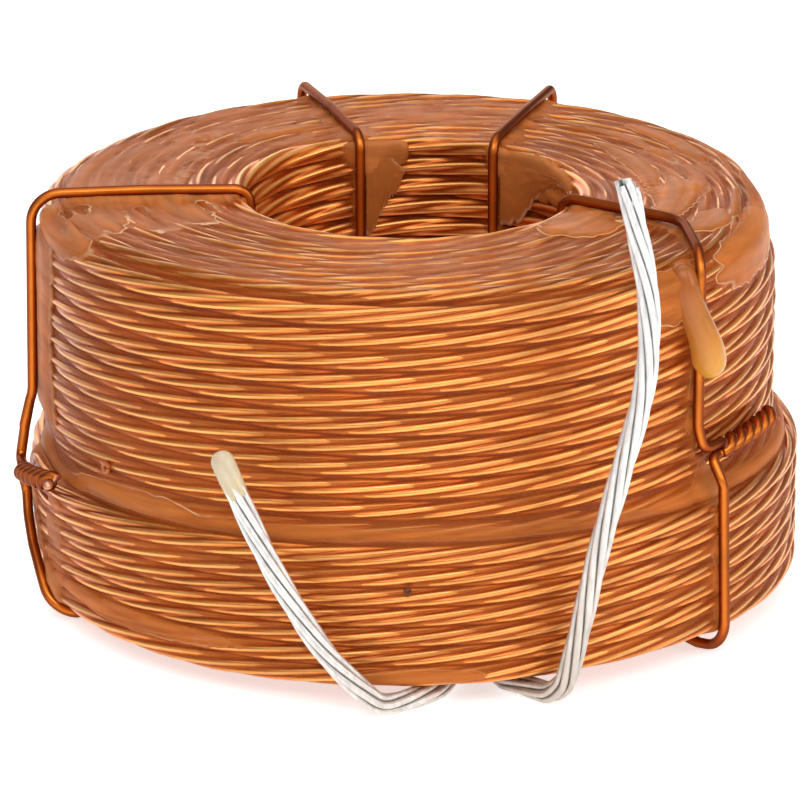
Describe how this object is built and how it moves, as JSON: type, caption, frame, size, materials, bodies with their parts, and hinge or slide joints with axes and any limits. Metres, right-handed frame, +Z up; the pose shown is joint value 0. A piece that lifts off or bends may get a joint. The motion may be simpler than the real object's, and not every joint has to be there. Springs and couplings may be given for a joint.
{
  "type": "crossover inductor",
  "caption": "Air-core crossover inductor: a self-supporting, varnished coil of stranded enamelled copper wire, tied with twisted wire and ending in tinned leads bent up from its foot.",
  "frame": {"origin": "on the coil's axis, in the plane that the inductor stands on", "axes": "+Z up along the axis of the coil and its core; both leads stand in front of the coil, towards -Y"},
  "size_m": [0.076, 0.0776, 0.0507],
  "materials": {
    "enamelled_copper": "glossy clear enamel and varnish over copper",
    "tie_copper": "glossy enamel over copper",
    "tinned_copper": "satin tin with resin in the grooves",
    "varnish": "glossy amber impregnating varnish"
  },
  "bodies": {
    "root": {"winding": "enamelled_copper", "start_lead": "tinned_copper", "finish_lead": "tinned_copper", "tie_wire_left": "tie_copper", "tie_wire_back_left": "tie_copper", "tie_wire_back_right": "tie_copper", "tie_wire_front_right": "tie_copper", "varnish_drip": "varnish", "varnish_curtain_left": "varnish", "varnish_curtain_right": "varnish"}
  },
  "joints": []
}
